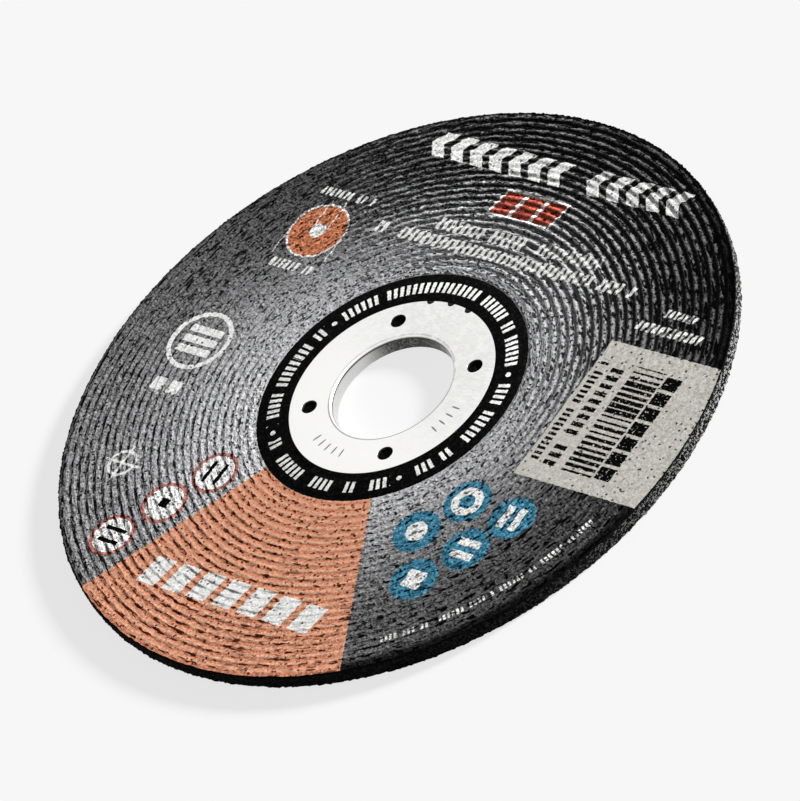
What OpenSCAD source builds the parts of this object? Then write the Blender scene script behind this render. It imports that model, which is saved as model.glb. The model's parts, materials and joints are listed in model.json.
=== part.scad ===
// Cut off wheel for an angle grinder: a moulded abrasive disc with a ribbed face,
// a printed label moulded into that face, and a stamped steel ring that lines the bore.
// It lies on its back, label up. The origin is on the bore's axis, at the back face.

/* [Wheel] */
// Outside diameter of the wheel
wheel_d = 125; // [110:1:180]
// Thickness from the back face to the crests of the ribs
wheel_t = 3; // [2:0.1:6]
// Rounding of the rim's two edges
rim_round = 0.3; // [0.1:0.05:0.45]

/* [Ribbed face] */
// Diameter of the flat zone that the grinder's flanges clamp
clamp_d = 50; // [46:1:60]
// Width of the flat land between the last rib and the rim
rim_land = 1.5; // [1:0.1:3]
// Number of ribs between the clamp zone and the rim land
rib_count = 24; // [12:1:40]
// Depth of the grooves between the ribs
rib_depth = 0.3; // [0.1:0.02:0.5]
// Share of the pitch over which a rib drops on its outer side
rib_fall = 0.32; // [0.2:0.02:0.8]

/* [Label] */
// Thickness of the printed label
label_t = 0.2; // [0.1:0.02:0.4]
// Width of bare abrasive between the label's edge and the rim
label_margin = 0.5; // [0.48:0.02:0.9]

/* [Centre ring] */
// Diameter of the bore
bore_d = 22.23; // [20:0.01:25.4]
// Diameter of the ring's flange
ring_d = 38; // [36:0.5:44]
// Thickness of the ring's sheet steel
ring_sheet = 0.5; // [0.3:0.05:0.8]
// Inside radius of the bend between flange and collar
bend_inside = 0.2; // [0.1:0.05:0.4]
// Height of the collar's foot above the back face
collar_lift = 0.2; // [0.05:0.05:0.5]
// Diameter of the holes that key the flange to the label and resin
key_hole_d = 2.8; // [2:0.1:3.2]
// Diameter of the circle that the key holes lie on
key_circle_d = 30.5; // [30:0.1:32]
// Number of key holes
key_holes = 4; // [3:1:8]
// Angle of the first key hole
key_angle = 33; // [0:1:120]

/* [Fit] */
// Clearance round the ring and round the label
seat_gap = 0.02; // [0.01:0.01:0.05]

/* [Hidden] */
$fn = 180;

// Flat steps that each rib's wave is drawn with
rib_steps = 8;
// How far a cutter runs past the face that it cuts
cut_over = 1;

wheel_r = wheel_d / 2;
clamp_r = clamp_d / 2;
rib_r = wheel_r - rim_land;
rib_pitch = (rib_r - clamp_r) / rib_count;
label_r = wheel_r - label_margin;
// Where the label lies in the abrasive, the lip beside it limits the rim's rounding
lip_round = min(rim_round, label_margin - seat_gap);

bore_r = bore_d / 2;
ring_r = ring_d / 2;
collar_r = bore_r + ring_sheet;
bend_outside = bend_inside + ring_sheet;
bend_r = bore_r + bend_outside;
bend_z = wheel_t - bend_outside;

// The label dips under the flange, so the flange lies flush with the clamp zone
seat_r = ring_r + seat_gap;
seat_z = wheel_t - ring_sheet;
recess_r = seat_r + label_t;
recess_z = seat_z - label_t;
label_hole_r = bend_r + seat_gap;
disc_bore_r = collar_r + seat_gap;
disc_mouth_z = min(recess_z, bend_z);

// Share of the pitch at a share t of the wave: the outer side is steep, the inner side gentle
function wave_place(t) =
    t < 0.5 ? 2 * t * rib_fall : rib_fall + (2 * t - 1) * (1 - rib_fall);

// Point of a rib's wave, as radius and height against the crests
function rib_point(rib, t) = [
    clamp_r + (rib + wave_place(t)) * rib_pitch,
    -rib_depth * (1 - cos(360 * t)) / 2
];

// The ribbed face from the clamp zone outwards, against the height of the crests
rib_wave = [
    for (rib = [0 : rib_count - 1], step = [0 : rib_steps - 1])
        rib_point(rib, step / rib_steps)
];

function raised(points, z) = [for (p = points) [p[0], p[1] + z]];

function backwards(points) = [for (i = [len(points) - 1 : -1 : 0]) points[i]];

// The label's underside, which is also the bed that it is moulded to, from its recess outwards
label_bed = concat(
    [[recess_r, recess_z], [recess_r, wheel_t - label_t]],
    raised(rib_wave, wheel_t - label_t),
    [[rib_r, wheel_t - label_t]]
);

// What a rounding takes off a square corner that points to +x, +y
module corner_cut(radius) {
    difference() {
        square(radius + cut_over);
        circle(r = radius);
    }
}

module disc_section() {
    difference() {
        polygon(concat(
            [
                [label_hole_r, recess_z]
            ],
            label_bed,
            [
                [label_r + seat_gap, wheel_t - label_t],
                [label_r + seat_gap, wheel_t],
                [wheel_r, wheel_t],
                [wheel_r, 0],
                [disc_bore_r, 0],
                [disc_bore_r, disc_mouth_z]
            ]
        ));
        translate([wheel_r - lip_round, wheel_t - lip_round]) corner_cut(lip_round);
        translate([wheel_r - rim_round, rim_round]) mirror([0, 1]) corner_cut(rim_round);
    }
}

module label_section() {
    polygon(concat(
        [[label_hole_r, recess_z]],
        label_bed,
        [
            [label_r, wheel_t - label_t],
            [label_r, wheel_t],
            [rib_r, wheel_t]
        ],
        backwards(raised(rib_wave, wheel_t)),
        [
            [seat_r, wheel_t],
            [seat_r, seat_z],
            [label_hole_r, seat_z]
        ]
    ));
}

module ring_section() {
    translate([bend_r, seat_z]) square([ring_r - bend_r, ring_sheet]);
    translate([bore_r, collar_lift]) square([ring_sheet, bend_z - collar_lift]);
    intersection() {
        translate([bore_r, bend_z]) square(bend_outside);
        translate([bend_r, bend_z]) difference() {
            circle(r = bend_outside);
            circle(r = bend_inside);
        }
    }
}

// Resin and grain, pressed and cured as one piece
module abrasive_disc() {
    color([0.16, 0.15, 0.14]) rotate_extrude() disc_section();
}

// Printed sheet that follows the ribs and dips under the ring's flange
module face_label() {
    color([0.45, 0.45, 0.45]) rotate_extrude() label_section();
}

// Steel ring with a flange on the label's side and a collar through the bore
module centre_ring() {
    color([0.86, 0.87, 0.88]) difference() {
        rotate_extrude() ring_section();
        for (i = [0 : key_holes - 1])
            rotate(key_angle + i * 360 / key_holes)
                translate([key_circle_d / 2, 0, seat_z - cut_over])
                    cylinder(d = key_hole_d, h = ring_sheet + 2 * cut_over);
    }
}

abrasive_disc();
face_label();
centre_ring();
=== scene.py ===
"""Looks of a cut off wheel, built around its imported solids.

The wheel lies on its back, printed face up: a moulded abrasive disc, a printed label that
follows the disc's ribs, and a stamped steel ring that lines the bore. Sizes are in
millimetres until they reach a mesh, a lamp or the camera.
"""

import functools
import json
import logging
import math
import operator
from collections.abc import Iterable, Sequence
from dataclasses import dataclass, field
from enum import Enum
from typing import Any, Union

import bmesh
import bpy
from mathutils import Matrix, Vector, noise


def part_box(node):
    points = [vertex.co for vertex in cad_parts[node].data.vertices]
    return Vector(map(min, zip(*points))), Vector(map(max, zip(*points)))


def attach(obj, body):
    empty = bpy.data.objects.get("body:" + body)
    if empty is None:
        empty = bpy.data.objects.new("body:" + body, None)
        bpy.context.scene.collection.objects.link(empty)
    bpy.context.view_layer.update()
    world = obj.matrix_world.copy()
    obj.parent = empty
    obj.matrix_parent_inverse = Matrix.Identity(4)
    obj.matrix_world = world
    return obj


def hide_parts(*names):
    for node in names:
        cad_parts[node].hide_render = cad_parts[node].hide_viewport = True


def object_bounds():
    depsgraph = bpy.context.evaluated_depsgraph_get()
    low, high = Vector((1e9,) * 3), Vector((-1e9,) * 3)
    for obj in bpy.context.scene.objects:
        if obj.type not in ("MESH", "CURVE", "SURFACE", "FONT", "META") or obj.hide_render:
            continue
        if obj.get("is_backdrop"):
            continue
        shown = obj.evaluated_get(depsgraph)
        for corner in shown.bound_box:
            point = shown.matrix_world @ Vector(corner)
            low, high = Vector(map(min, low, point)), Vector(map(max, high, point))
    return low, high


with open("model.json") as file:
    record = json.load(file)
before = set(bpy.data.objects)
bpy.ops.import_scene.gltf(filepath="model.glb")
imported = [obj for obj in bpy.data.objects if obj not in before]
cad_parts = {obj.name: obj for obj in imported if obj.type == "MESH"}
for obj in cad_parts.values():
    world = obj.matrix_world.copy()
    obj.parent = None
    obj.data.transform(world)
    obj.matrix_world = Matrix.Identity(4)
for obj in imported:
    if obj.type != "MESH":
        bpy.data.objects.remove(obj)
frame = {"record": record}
CAD_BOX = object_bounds()

LOG = logging.getLogger("cut_off_wheel")
MM = 0.001
BODY = "root"
LATHE_DOUBLINGS = 5
WELD_MM = 0.002
CELL_MIDDLE = 0.5

Point = tuple[float, float]
Span = tuple[float, float]
Colour = tuple[float, float, float]
Number = Union[float, "Value"]


class Ink(Enum):
    """Colours of the print, as linear red, green and blue."""

    WHITE = (0.80, 0.80, 0.785)
    BLACK = (0.002, 0.002, 0.002)
    ORANGE = (0.70, 0.368, 0.242)
    DEEP_ORANGE = (0.58, 0.225, 0.115)
    BLUE = (0.05, 0.21, 0.315)
    LIGHT_BLUE = (0.13, 0.33, 0.44)
    RED = (0.34, 0.08, 0.054)
    BEIGE = (0.52, 0.50, 0.458)
    PALE = (0.45, 0.45, 0.45)


class Mark(Enum):
    """Plain shapes that stand inside the round badges."""

    RING = "ring"
    BARS = "bars"
    SQUARE = "square"
    DOT = "dot"
    STACK = "stack"


@dataclass(frozen=True)
class Side:
    """A sector round the axis.

    Attributes:
        turn: azimuth of its middle, in degrees.
        low: cosine to the middle at which it starts.
        high: cosine at which it is full.
        share: its strength there.
    """

    turn: float
    low: float
    high: float
    share: float = 1.0


class Value:
    """A number that varies over a surface: an output socket with arithmetic."""

    def __init__(self, nodes: "Nodes", socket: bpy.types.NodeSocket) -> None:
        """Keeps the node tree and the socket."""
        self.nodes = nodes
        self.socket = socket

    def __add__(self, other: Number) -> "Value":
        """Sum."""
        return self.nodes.math("ADD", self, other)

    def __radd__(self, other: Number) -> "Value":
        """Sum, with the number first."""
        return self.nodes.math("ADD", other, self)

    def __sub__(self, other: Number) -> "Value":
        """Difference."""
        return self.nodes.math("SUBTRACT", self, other)

    def __rsub__(self, other: Number) -> "Value":
        """Difference, with the number first."""
        return self.nodes.math("SUBTRACT", other, self)

    def __mul__(self, other: Number) -> "Value":
        """Product."""
        return self.nodes.math("MULTIPLY", self, other)

    def __rmul__(self, other: Number) -> "Value":
        """Product, with the number first."""
        return self.nodes.math("MULTIPLY", other, self)

    def __truediv__(self, other: Number) -> "Value":
        """Quotient."""
        return self.nodes.math("DIVIDE", self, other)

    def __rtruediv__(self, other: Number) -> "Value":
        """Quotient, with the number first."""
        return self.nodes.math("DIVIDE", other, self)

    def __pow__(self, other: Number) -> "Value":
        """Power."""
        return self.nodes.math("POWER", self, other)

    def __rpow__(self, other: Number) -> "Value":
        """Power, with the number as base."""
        return self.nodes.math("POWER", other, self)

    def __abs__(self) -> "Value":
        """Size without sign."""
        return self.nodes.math("ABSOLUTE", self)

    def __lt__(self, other: Number) -> "Value":
        """1 where this is below the other."""
        return self.nodes.math("LESS_THAN", self, other)

    def __gt__(self, other: Number) -> "Value":
        """1 where this is above the other."""
        return self.nodes.math("GREATER_THAN", self, other)

    def __or__(self, other: "Value") -> "Value":
        """The larger of two masks."""
        return self.nodes.math("MAXIMUM", self, other)

    def floor(self) -> "Value":
        """Whole part."""
        return self.nodes.math("FLOOR", self)

    def sine(self) -> "Value":
        """Sine of an angle in radians."""
        return self.nodes.math("SINE", self)

    def near(self, middle: Number, half: Number) -> "Value":
        """1 where this lies within half of the middle."""
        return self.nodes.math("COMPARE", self, middle, half)

    def ramp(self, low: float, high: float) -> "Value":
        """Smooth step from 0 at low to 1 at high."""
        sockets = {0: self, 1: low, 2: high}
        return self.nodes.add("ShaderNodeMapRange", {"interpolation_type": "SMOOTHSTEP"}, sockets)

    def wave(self) -> "Value":
        """0 at whole numbers, 1 half way between them and smooth."""
        return 0.5 - self.nodes.math("COSINE", self * (2 * math.pi)) * 0.5

    def spread(self, low: float, high: float) -> "Value":
        """Straight line from low at 0 to high at 1."""
        return self * (high - low) + low


class Nodes:
    """The node tree of a material or of the world."""

    def __init__(self, owner: bpy.types.Material | bpy.types.World) -> None:
        """Takes the owner's tree and empties it.

        Args:
            owner: the material or world.
        """
        self.owner = owner
        owner.use_nodes = True
        self.tree = owner.node_tree
        self.tree.nodes.clear()

    def add(
        self,
        kind: str,
        settings: dict[str, Any] | None = None,
        sockets: dict[int | str, Any] | None = None,
        output: int | str = 0,
    ) -> Value:
        """Adds any node.

        Args:
            kind: the node's type.
            settings: attributes that are set first, or "stops" for a ramp's (place, colour) pairs.
            sockets: a value or a link for each input, by index or name.
            output: which output to return.

        Returns:
            The chosen output.
        """
        node = self.tree.nodes.new(kind)
        for key, value in (settings or {}).items():
            if key == "stops":
                self._set_stops(node.color_ramp, value)
            else:
                setattr(node, key, value)
        for key, value in (sockets or {}).items():
            if isinstance(value, Value):
                self.tree.links.new(value.socket, node.inputs[key])
            else:
                node.inputs[key].default_value = value
        return Value(self, node.outputs[output]) if node.outputs else Value(self, None)

    @staticmethod
    def _set_stops(ramp: bpy.types.ColorRamp, stops: Sequence[tuple[float, Colour]]) -> None:
        """Gives a ramp its stops.

        Args:
            ramp: the ramp.
            stops: place and colour of each stop.
        """
        while len(ramp.elements) < len(stops):
            ramp.elements.new(1.0)
        for element, (place, colour) in zip(ramp.elements, stops):
            element.position = place
            element.color = (*colour, 1.0)

    def math(self, operation: str, *values: Number) -> Value:
        """Adds a Math node on the given values."""
        return self.add("ShaderNodeMath", {"operation": operation}, dict(enumerate(values)))

    def blend(self, factor: Number, base: Any, top: Any, mode: str = "MIX") -> Value:
        """Mixes two colours.

        Args:
            factor: share of the top colour.
            base: colour or socket below.
            top: colour or socket above.
            mode: how the top goes on the base.

        Returns:
            The mixed colour.
        """
        paint = [(*c, 1.0) if isinstance(c, tuple) else c for c in (base, top)]
        return self.add(
            "ShaderNodeMix",
            {"data_type": "RGBA", "blend_type": mode},
            {0: factor, 6: paint[0], 7: paint[1]},
            output=2,
        )

    def multiply(self, base: Any, top: Any) -> Value:
        """Multiplies two colours."""
        return self.blend(1.0, base, top, "MULTIPLY")

    def vector(self, x: Number, y: Number, z: Number = 0.0) -> Value:
        """Joins three values to a vector."""
        return self.add("ShaderNodeCombineXYZ", None, {0: x, 1: y, 2: z})

    def parts(self, vector: Value) -> tuple[Value, Value, Value]:
        """Splits a vector.

        Args:
            vector: the vector or colour.

        Returns:
            Its three values.
        """
        first = self.add("ShaderNodeSeparateXYZ", None, {0: vector})
        outputs = first.socket.node.outputs
        return first, Value(self, outputs[1]), Value(self, outputs[2])

    def distance(self, vector: Value, centre: tuple[float, float, float]) -> Value:
        """Distance from a fixed point."""
        sockets = {0: vector, 1: centre}
        return self.add("ShaderNodeVectorMath", {"operation": "DISTANCE"}, sockets, output="Value")

    def cells(self, vector: Value, scale: float, output: str) -> Value:
        """One output of a field of grains, with scale grains to the vector's unit."""
        sockets = {"Vector": vector, "Scale": scale}
        return self.add("ShaderNodeTexVoronoi", {"feature": "F1"}, sockets, output)

    def grain(self, vector: Value, size: float, detail: float = 2.0, rough: float = 0.6) -> Value:
        """Cloudy noise from 0 to 1.

        Args:
            vector: where it is read.
            size: width of a blotch, in the vector's unit.
            detail: octaves.
            rough: strength of the finer octaves.

        Returns:
            The noise.
        """
        return self.add(
            "ShaderNodeTexNoise",
            {"noise_dimensions": "3D"},
            {"Vector": vector, "Scale": 1 / size, "Detail": detail, "Roughness": rough},
        )

    def chance(self, index: Value) -> Value:
        """A fixed random number from 0 to 1 for each whole number."""
        return self.add("ShaderNodeTexWhiteNoise", {"noise_dimensions": "1D"}, {"W": index})

    def bump(self, height: Value, strength: float = 1.0) -> Value:
        """Normal of a surface with the given height in millimetres."""
        sockets = {"Strength": strength, "Distance": MM, "Height": height}
        return self.add("ShaderNodeBump", None, sockets, output="Normal")

    def straight_rays(self) -> Value:
        """Finds the rays that show the backdrop.

        Returns:
            1 on rays from the camera, from a reflection or through clear material.
        """
        rays = ("Is Camera Ray", "Is Glossy Ray", "Is Transmission Ray")
        camera, glossy, through = (self.add("ShaderNodeLightPath", output=ray) for ray in rays)
        return camera | glossy | through

    def surface(self, sockets: dict[str, Any]) -> bpy.types.Material:
        """Ends the tree in a Principled shader.

        Args:
            sockets: the shader's inputs.

        Returns:
            The material.
        """
        shader = self.add("ShaderNodeBsdfPrincipled", None, sockets)
        self.add("ShaderNodeOutputMaterial", None, {"Surface": shader})
        return self.owner


class Spot:
    """A place on a surface, in millimetres from the wheel's origin."""

    def __init__(self, nodes: Nodes) -> None:
        """Reads Object coordinates.

        Args:
            nodes: the material's nodes.
        """
        self.nodes = nodes
        here = nodes.add("ShaderNodeTexCoord", output="Object")
        self.here = nodes.add("ShaderNodeVectorMath", {"operation": "SCALE"}, {0: here, "Scale": 1 / MM})
        self.x, self.y, self.z = nodes.parts(self.here)
        self.radius = (self.x * self.x + self.y * self.y) ** 0.5

    def facing(self, turn: float) -> Value:
        """Cosine to an azimuth in degrees: 1 towards it and -1 away from it."""
        east, north = polar(1.0, turn)
        return (self.x * east + self.y * north) / self.radius

    def side(self, side: Side) -> Value:
        """Mask of a sector, up to its strength."""
        return self.facing(side.turn).ramp(side.low, side.high) * side.share


def polar(radius: float, turn: float) -> Point:
    """Point at a distance from the axis and an azimuth in degrees."""
    return radius * math.cos(math.radians(turn)), radius * math.sin(math.radians(turn))


def union(masks: Iterable[Value]) -> Value:
    """The largest of several masks."""
    return functools.reduce(operator.or_, masks)


@dataclass
class WheelSizes:
    """Sizes of the wheel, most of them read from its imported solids."""

    wheel_r: float
    wheel_t: float
    label_r: float
    ring_r: float
    bore_r: float
    collar_lift: float
    clamp_r: float = 25.0
    rib_r: float = 61.0
    rib_count: int = 24
    rib_depth: float = 0.3
    rib_fall: float = 0.32
    label_t: float = 0.2
    rim_round: float = 0.3
    ring_sheet: float = 0.5
    bend_inside: float = 0.2
    key_hole_r: float = 1.4
    key_circle_r: float = 15.25
    key_holes: int = 4
    key_angle: float = 33.0
    seat_gap: float = 0.02

    @classmethod
    def from_frame(cls) -> "WheelSizes":
        """Reads the outer sizes from the frame.

        Returns:
            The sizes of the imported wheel.
        """
        disc_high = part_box("abrasive_disc")[1] / MM
        label_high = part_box("face_label")[1] / MM
        ring_low, ring_high = (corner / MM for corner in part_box("centre_ring"))
        mounts = {mount["name"]: mount for mount in frame["record"]["mounts"]}
        return cls(
            wheel_r=disc_high.x,
            wheel_t=disc_high.z,
            label_r=label_high.x,
            ring_r=ring_high.x,
            bore_r=mounts["arbor_bore"]["dims"]["r_mm"],
            collar_lift=ring_low.z,
        )

    @property
    def pitch(self) -> float:
        """Distance from rib to rib."""
        return (self.rib_r - self.clamp_r) / self.rib_count

    @property
    def seat_z(self) -> float:
        """Height of the flange's underside."""
        return self.wheel_t - self.ring_sheet

    @property
    def seat_r(self) -> float:
        """Radius of the label's step round the flange."""
        return self.ring_r + self.seat_gap

    @property
    def bend_outside(self) -> float:
        """Outside radius of the ring's bend."""
        return self.bend_inside + self.ring_sheet

    @property
    def bend_r(self) -> float:
        """Radius at which the bend meets the flat of the flange."""
        return self.bore_r + self.bend_outside

    def rib(self, index: int, share: float) -> Point:
        """Point of a rib's wave.

        Args:
            index: which rib, counted from the clamp zone.
            share: place on the wave, from crest to crest.

        Returns:
            Radius, and height against the crests.
        """
        fall = self.rib_fall
        place = 2 * share * fall if share < 0.5 else fall + (2 * share - 1) * (1 - fall)
        drop = self.rib_depth * (1 - math.cos(2 * math.pi * share)) / 2
        return self.clamp_r + (index + place) * self.pitch, -drop

    def ribs(self, shares: Sequence[float]) -> list[Point]:
        """Points of the ribbed face from the clamp zone outwards.

        Args:
            shares: places on each rib's wave.

        Returns:
            Radius and height against the crests, with the last crest.
        """
        wave = [self.rib(index, share) for index in range(self.rib_count) for share in shares]
        return wave + [(self.rib_r, 0.0)]


def lathe(outline: Sequence[Point], steps: int) -> bmesh.types.BMesh:
    """Turns a closed outline about the bore's axis: a sector is spun, then doubled until it closes.

    Args:
        outline: radius and height of each corner.
        steps: flat steps of the turn, a multiple of the number of sectors.

    Returns:
        A closed mesh with its faces outwards.
    """
    mesh = bmesh.new()
    corners = [mesh.verts.new((r * MM, 0.0, z * MM)) for r, z in outline]
    sides = [mesh.edges.new(pair) for pair in zip(corners, corners[1:] + corners[:1])]
    sectors = 2**LATHE_DOUBLINGS
    sector = 2 * math.pi / sectors
    bmesh.ops.spin(
        mesh, geom=corners + sides, cent=(0, 0, 0), axis=(0, 0, 1), angle=sector, steps=steps // sectors
    )
    for i in range(LATHE_DOUBLINGS):
        whole = [*mesh.verts, *mesh.edges, *mesh.faces]
        copied = bmesh.ops.duplicate(mesh, geom=whole)["geom"]
        verts = [part for part in copied if isinstance(part, bmesh.types.BMVert)]
        bmesh.ops.rotate(mesh, cent=(0, 0, 0), matrix=Matrix.Rotation(sector * 2**i, 3, "Z"), verts=verts)
    bmesh.ops.remove_doubles(mesh, verts=mesh.verts, dist=WELD_MM * MM)
    bmesh.ops.recalc_face_normals(mesh, faces=mesh.faces)
    return mesh


def arc(centre: Point, radius: float, start: float, end: float, steps: int) -> list[Point]:
    """Points on a circular arc.

    Args:
        centre: middle of the circle.
        radius: its radius.
        start: first angle in degrees.
        end: last angle in degrees.
        steps: steps from first to last.

    Returns:
        The points, with both ends.
    """
    angles = [math.radians(start + (end - start) * i / steps) for i in range(steps + 1)]
    return [(centre[0] + radius * math.cos(a), centre[1] + radius * math.sin(a)) for a in angles]


def to_piece(
    mesh: bmesh.types.BMesh, name: str, material: bpy.types.Material, sharp: float
) -> bpy.types.Object:
    """Makes a finished piece from a mesh and lets it ride on the wheel.

    Args:
        mesh: the shape, in place, in metres.
        name: the piece's name.
        material: its finish.
        sharp: angle in degrees past which an edge stays sharp.

    Returns:
        The new object.
    """
    data = bpy.data.meshes.new(name)
    for face in mesh.faces:
        face.smooth = True
    mesh.to_mesh(data)
    mesh.free()
    data.set_sharp_from_angle(angle=math.radians(sharp))
    data.materials.append(material)
    piece = bpy.data.objects.new(name, data)
    bpy.context.scene.collection.objects.link(piece)
    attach(piece, BODY)
    return piece


@dataclass(frozen=True)
class AbrasiveFinish:
    """Dark grain in black resin, with the weave of the glass net under the back, and pale rim grains
    painted as glints, mostly on the side towards the key light.
    """

    resin: Colour = (0.003, 0.003, 0.003)
    grain: Colour = (0.008, 0.0078, 0.0076)
    glint: Colour = (0.30, 0.297, 0.293)
    grain_mm: float = 0.27
    grain_tone: Span = (0.05, 0.6)
    grain_rise: float = 0.10
    fine_mm: float = 0.2
    fine_rise: float = 0.08
    glint_pick: Span = (1.1, 1.24)
    lit_turn: float = 25.0
    lit_power: float = 5.0
    lit_least: float = 0.04
    rim_r: float = 61.0
    rim_z: Span = (2.75, 2.35)
    thread: Colour = (0.04, 0.039, 0.037)
    thread_least: float = 0.4
    thread_edge: Span = (0.75, 0.98)
    thread_rise: float = 0.12
    net_pitch: float = 3.6
    net_turn: float = 0.35
    back_z: float = 0.05
    roughness: Span = (0.45, 0.85)
    specular: float = 0.006

    def material(self) -> bpy.types.Material:
        """Builds the material.

        Returns:
            The bonded abrasive.
        """
        nodes = Nodes(bpy.data.materials.new("bonded_abrasive"))
        spot = Spot(nodes)
        shade, pick, gloss = nodes.parts(nodes.cells(spot.here, 1 / self.grain_mm, "Color"))
        lump = nodes.cells(spot.here, 1 / self.grain_mm, "Distance")
        fine = nodes.grain(spot.here, self.fine_mm)
        # Painted glints: pale grains on the rim show mostly on the side towards the key light, where light
        # would catch them.
        lit = nodes.math("MAXIMUM", spot.facing(self.lit_turn), 0.0)
        lit_glints = (lit**self.lit_power).spread(self.lit_least, 1.0)
        rim = spot.z.ramp(*self.rim_z) * (spot.radius > self.rim_r)
        glints = (pick + fine).ramp(*self.glint_pick) * rim * lit_glints
        colour = nodes.blend((shade * fine).ramp(*self.grain_tone), self.resin, self.grain)
        colour = nodes.blend(glints, colour, self.glint)
        net = self._net(spot)
        colour = nodes.blend(net * fine.spread(self.thread_least, 1.0), colour, self.thread)
        height = (1 - lump) * self.grain_rise + fine * self.fine_rise + net * self.thread_rise
        return nodes.surface(
            {
                "Base Color": colour,
                "Roughness": gloss.spread(*self.roughness),
                "Specular IOR Level": self.specular,
                "Normal": nodes.bump(height),
            }
        )

    def _net(self, spot: Spot) -> Value:
        """Threads of the glass net, which show only on the back.

        Args:
            spot: place on the disc.

        Returns:
            1 on a thread and 0 between threads.
        """
        sockets = {"Vector": spot.here, "Angle": self.net_turn}
        turned = spot.nodes.add("ShaderNodeVectorRotate", {"rotation_type": "Z_AXIS"}, sockets)
        x, y, z = spot.nodes.parts(turned)
        turn = math.pi / self.net_pitch
        warp = abs((x * turn).sine()).ramp(*self.thread_edge)
        weft = abs((y * turn).sine()).ramp(*self.thread_edge)
        return (warp | weft) * (z < self.back_z)


@dataclass
class AbrasiveDisc:
    """The moulded disc: a rough rim, a plain back and the ribbed bed under the label."""

    sizes: WheelSizes
    steps: int = 1120
    round_steps: int = 3
    rim_steps: int = 9
    back_steps: int = 10
    grain_mm: float = 0.65
    grain_depth: float = 0.36
    grain_gain: float = 1.1
    grit_mm: float = 0.24
    grit_depth: float = 0.1
    back_z: float = 0.01
    sharp: float = 60.0
    bed_shares: tuple[float, ...] = (0.0, 0.5)
    finish: AbrasiveFinish = field(default_factory=AbrasiveFinish)

    def outline(self) -> list[Point]:
        """Section of the disc, from the label's lip over the rim and the back to the bed.

        Returns:
            Radius and height of each corner.
        """
        s = self.sizes
        bed = s.wheel_t - s.label_t
        lip_r = s.label_r + s.seat_gap
        bore_r = s.bore_r + s.ring_sheet + s.seat_gap
        inner = s.wheel_r - s.rim_round
        top = arc((inner, s.wheel_t - s.rim_round), s.rim_round, 90, 0, self.round_steps)
        foot = arc((inner, s.rim_round), s.rim_round, 0, -90, self.round_steps)
        span = foot[0][1] - top[-1][1]
        rim = [(s.wheel_r, top[-1][1] + span * i / self.rim_steps) for i in range(1, self.rim_steps)]
        back = [
            (inner + (bore_r - inner) * i / self.back_steps, 0.0) for i in range(1, self.back_steps + 1)
        ]
        recess_z = s.seat_z - s.label_t
        mouth = [
            (bore_r, recess_z),
            (s.bend_r + s.seat_gap, recess_z),
            (s.seat_r + s.label_t, recess_z),
            (s.seat_r + s.label_t, bed),
        ]
        wave = [(r, bed + z) for r, z in s.ribs(self.bed_shares)]
        return [(lip_r, bed), (lip_r, s.wheel_t)] + top + rim + foot + back + mouth + wave

    def roughen(self, mesh: bmesh.types.BMesh) -> None:
        """Breaks the rim into grain.

        Args:
            mesh: the turned disc.
        """
        s = self.sizes
        lip_r = s.label_r + s.seat_gap
        for vert in mesh.verts:
            here = vert.co / MM
            radius = math.hypot(here.x, here.y)
            on_lip = radius < lip_r + s.seat_gap
            if radius < s.label_r or (on_lip and here.z < s.wheel_t - WELD_MM):
                continue
            lump = noise.voronoi(here / self.grain_mm)[0][0]
            grit = noise.noise(here / self.grit_mm)
            depth = self.grain_depth * min(1.0, lump * self.grain_gain) + self.grit_depth * (1 + grit)
            reach = min(depth, radius - lip_r) if here.z > s.wheel_t / 2 else depth
            inward = Vector((-here.x / radius, -here.y / radius, 0.0)) * reach
            inward.z = (s.wheel_t / 2 - here.z) / s.wheel_t * depth
            if here.z < self.back_z:
                inward.z = 0.0
            vert.co += inward * MM

    def build(self) -> bpy.types.Object:
        """Makes the disc.

        Returns:
            The piece that stands for the abrasive disc.
        """
        mesh = lathe(self.outline(), self.steps)
        self.roughen(mesh)
        piece = to_piece(mesh, "abrasive_body", self.finish.material(), self.sharp)
        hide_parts("abrasive_disc")
        return piece


@dataclass(frozen=True)
class BlockRow:
    """A row of plain blocks, with some cells left empty.

    Attributes:
        start: where the row starts.
        end: where it ends.
        line: its middle line, measured across it.
        height: height of a block.
        block: width of a block's cell.
        seed: which draw leaves cells empty.
        gaps: share of the cells that stay empty.
        half: half of a block's share of its cell.
    """

    start: float
    end: float
    line: float
    height: float
    block: float
    seed: float
    gaps: float = 0.15
    half: float = 0.28


@dataclass(frozen=True)
class Box:
    """A rectangle of the face, by its middle and half its sides."""

    x: float
    y: float
    half_x: float
    half_y: float


@dataclass(frozen=True)
class Hoop:
    """A drawn circle, by its middle, its radius and half the width of its line."""

    x: float
    y: float
    radius: float
    half: float


@dataclass(frozen=True)
class Bars:
    """Even bars, one to a cell.

    Attributes:
        start: where the first cell starts.
        pitch: width of a cell.
        half: half of a bar's share of its cell.
        empty: the cell that has no bar.
    """

    start: float
    pitch: float
    half: float
    empty: float | None = None


@dataclass(frozen=True)
class Badge:
    """A round badge with a plain shape inside."""

    x: float
    y: float
    mark: Mark


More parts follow.
